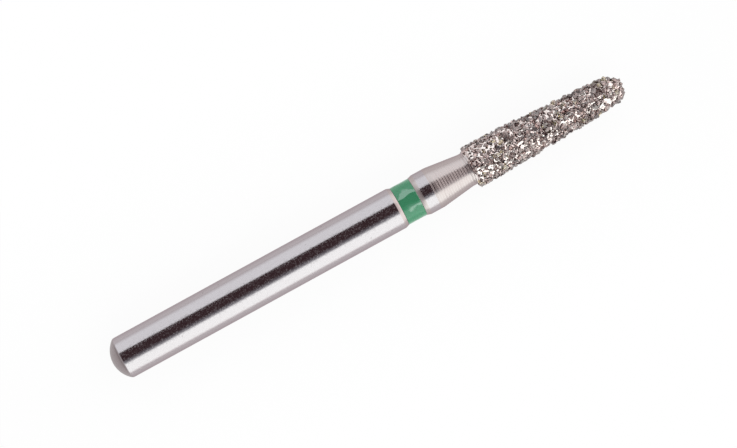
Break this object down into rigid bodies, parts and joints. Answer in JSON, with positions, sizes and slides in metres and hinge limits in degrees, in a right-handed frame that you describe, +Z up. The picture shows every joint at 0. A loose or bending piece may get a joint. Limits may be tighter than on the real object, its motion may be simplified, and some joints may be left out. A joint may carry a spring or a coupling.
{
  "type": "dental bur",
  "caption": "Friction-grip dental bur: a ground steel shank with a green colour band, a tapered neck and a round-ended taper head coated in coarse diamond grit.",
  "frame": {"origin": "on the bur's axis, at the middle of the shank's ground grip length", "axes": "+X along the bur's axis, towards the tip of the head; +Z up as the bur lies"},
  "size_m": [0.0211, 0.0016, 0.0016],
  "materials": {
    "steel": "ground bright on the shank and collar, fine turned on the neck and butt",
    "green_lacquer": "gloss",
    "plated_nickel": "bright plated nickel between the grains",
    "diamond": "blocky diamond grains, grey to pale yellow"
  },
  "bodies": {
    "root": {"steel_blank": "steel", "colour_band": "green_lacquer", "diamond_coating": "plated_nickel"}
  },
  "joints": []
}
